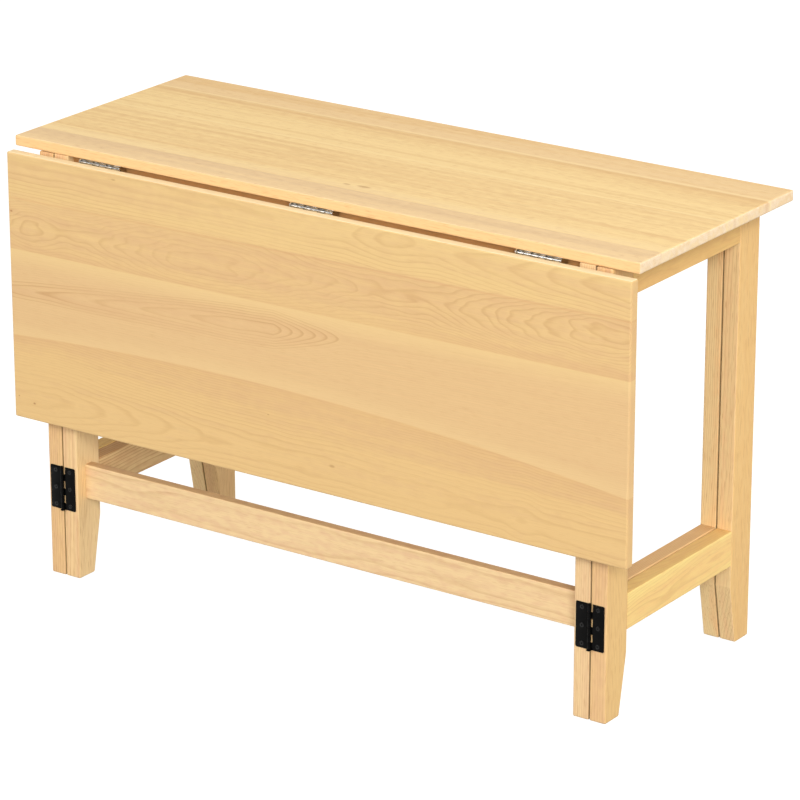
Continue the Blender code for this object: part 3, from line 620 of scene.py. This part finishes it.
# Top. Boards glued edge to edge, mostly straight-grained, planed and lacquered, with the long
# edges rounded. It is screwed down to the frame from below.
TOP_FACE = 750  # mm above the floor
straight = {"swirl": 5.0, "lines": 0.1, "sap": "#F7DAA0", "heartwood": "#E9C58E"}
top_boards = [
    {
        **straight, "heart": (-330, 0.01, 0), "depth": 640, "pink": (190, 160, 0.5),
        "sap": "#F2D4A4", "heartwood": "#E4C59A",
    },
    {
        **straight, "start": (-154, 0, 0), "heart": (-40, 0.015, 0), "depth": 560,
        "pink": (195, 215, 0.4),
    },
    {
        **straight, "start": (31, 0.003, 0), "heart": (240, -0.01, 0), "depth": 600,
        "pink": (171, 215, 0.7),
    },
    {
        **straight, "start": (157, 0.002, 0), "heart": (60, 0.02, 0), "depth": 650,
        "pink": (190, 150, 0.6), "sap": "#F1D2A0",
    },
]
top_knots = [((8, -132.6, TOP_FACE), 4.0, 2.4, 0.4), ((39, -130, TOP_FACE), 6.0, 3.0, 0.4)]
top_streaks = [
    ((32, 0.003, 0), (6, 6), 0.5, "#FBE3AE"),
    ((163, 0.002, 0), (5, 5), 0.6, "#FBE3AE"),
    ((150, 0.002, 0), (13, 13), 0.3, "#D8AC76"),
    ((79, 0.006, -1e-5), (5, 5), 0.35, "#FBE0A8"),
    ((14, 0.004, 0), (4, 4), 0.3, "#FBE0A8"),
    ((58, 0.004, -1e-5), (7, 7), 0.3, "#D8AE74"),
    ((-145, 0, 0), (14, 30), 0.25, "#F9E2B8"),
]
wood = lacquered_rubberwood(
    "rubberwood_top", "XYZ", top_boards, top_knots, top_streaks,
    edges=("#F6CA8E", 0.8), ends=("#FBE6C8", 0.9), bands=0.4,
)
dress("top_panel", wood)


# Drop leaf. Broad flat-sawn boards glued edge to edge, so their year rings show as long tongues
# and eyes. It hangs on three hinges at the front of the top.
LEAF_FACE = -236  # mm, where its front lies
flat_sawn = {"sap": "#EAC98D", "heartwood": "#DEB586"}
sapwood_edge = (431, -0.0253, -8.3e-5)
seam = (568.5, 0.006, 0)
leaf_boards = [
    {
        "sap": "#E8C489", "heartwood": "#DBB184", "heart": (318, -0.008, -3e-5), "depth": -306,
        "lines": 0.2, "pink": (128, 92, 0.45),
        "tongues": ((-500, -200, 5),), "eyes": ((408, 40, 0.6),), "drift": 10.0, "ripple": 3.0,
    },
    {
        **flat_sawn, "start": sapwood_edge, "heart": (532, 0.063, 0), "depth": -253,
        "lines": 0.42, "pink": (30, 41, 0.3), "figure": (36.5, 40), "sap": "#E5C18D",
        "tongues": ((-60, 75, 6.5), (-150, -592, 4.5)), "drift": 6.0, "swirl": 4.0,
    },
    {
        **flat_sawn, "start": seam, "heart": (622, 0.03, 0), "depth": -281,
        "lines": 0.27, "pink": (80, 120, 0.45), "drift": 8.0, "swirl": 12.0, "ripple": 7.0,
        "eyes": ((-545, 62, 1.4), (-175, 330, 6.0), (570, 360, 9.0)),
    },
    {
        **flat_sawn, "start": (660.5, 0.011, 0), "heart": (712, 0, 0), "depth": -296,
        "lines": 0.25, "pink": (60, 85, 0.2),
        "tongues": ((250, 620, -5),), "eyes": ((158, 95, 1.2),), "drift": 12.0,
    },
]
leaf_knots = [
    ((-586.4, 628.4, LEAF_FACE), 2.2, 1.6, 0.6),
    ((-550.4, 304.1, LEAF_FACE), 2.4, 1.6, 0.6),
    ((-582.6, 311.5, LEAF_FACE), 1.5, 1.6, 0.5),
    ((51, 323.7, LEAF_FACE), 3.4, 2.2, 0.35),
    ((-373, 717, LEAF_FACE), 2.0, 3.0, 0.35),
    ((-72, 384, LEAF_FACE), 1.3, 2.4, 0.4),
]
leaf_streaks = [
    (seam, (34, 0.8), 0.36, "#F4D998"),
    (seam, (0.8, 24), 0.22, "#DCAE7E"),
    (sapwood_edge, (1.5, 30), 0.26, "#F4D89C"),
    (sapwood_edge, (18, 1.5), 0.14, "#DAA977"),
    ((658, 0.011, 0), (2.5, 2.5), 0.35, "#D9A673"),
]
# The leaf's long edges are painted pale cream: a painted highlight along its top and bottom edges
wood = lacquered_rubberwood(
    "rubberwood_leaf", "XZY", leaf_boards, leaf_knots, leaf_streaks,
    edges=("#F9E6BE", 0.85), ends=("#EDC48A", 0.4), mottle=0.12, pores=0.12,
)
dress("drop_leaf", wood)


# Leaf hinges. Zinc-plated steel butt hinges with six knuckles, one plate under the top and the
# other down the inside of the leaf, each held by three cross-head screws.
# Bright plating with a faint bloom of 4 mm clouds, so no two knuckles shine quite alike
zinc = steel_finish(
    "zinc_plated_steel", speck=4.0, detail=3.0, shades=("#C8CACC", "#F2F2F0"),
    gloss=(0.12, 0.22), relief=(0.1, 0.05), metallic=1.0,
)
leaf_sizes = {"length": 0.078, "reach": 0.026, "slot": 0.0038, "sheet": 0.0013, "roll": 0.0033, "count": 6}
leaf_screws = {"screw_at": 0.0147, "pitch": 0.027}
plate_face = leaf_sizes["roll"] - leaf_sizes["sheet"]
under_top = Matrix(((0, 0, 1), (1, 0, 0), (0, 1, 0))).to_4x4()
down_leaf = Matrix(((0, 0, 1), (0, -1, 0), (1, 0, 0))).to_4x4()
leaf_pin = hinge_pin(leaf_sizes["length"], radius=0.0016, button=0.0028)
for owner, side, first, lie, body in (("top", 1, 0, under_top, "frame"), ("leaf", -1, 1, down_leaf, "leaf")):
    plate = rolled_plate(side, first=first, **leaf_sizes, **leaf_screws)
    screws = countersunk_screws(side, length=0.012, surface=plate_face, **leaf_screws)
    for spot in ("left", "middle", "right"):
        hinge = f"leaf_hinge_{spot}"
        node = f"{hinge}_{owner}_plate"
        turn = middle_of(hinge + "_pin") @ lie
        fit(plate, node + "_rolled", turn, body, "zinc_steel", zinc, node)
        fit(screws, node + "_screws", turn, body, "zinc_steel", zinc)
        if owner == "top":
            fit(leaf_pin, hinge + "_round_pin", turn, body, "zinc_steel", zinc, hinge + "_pin")
    for shape in (plate, screws):
        bpy.data.objects.remove(shape)
bpy.data.objects.remove(leaf_pin)
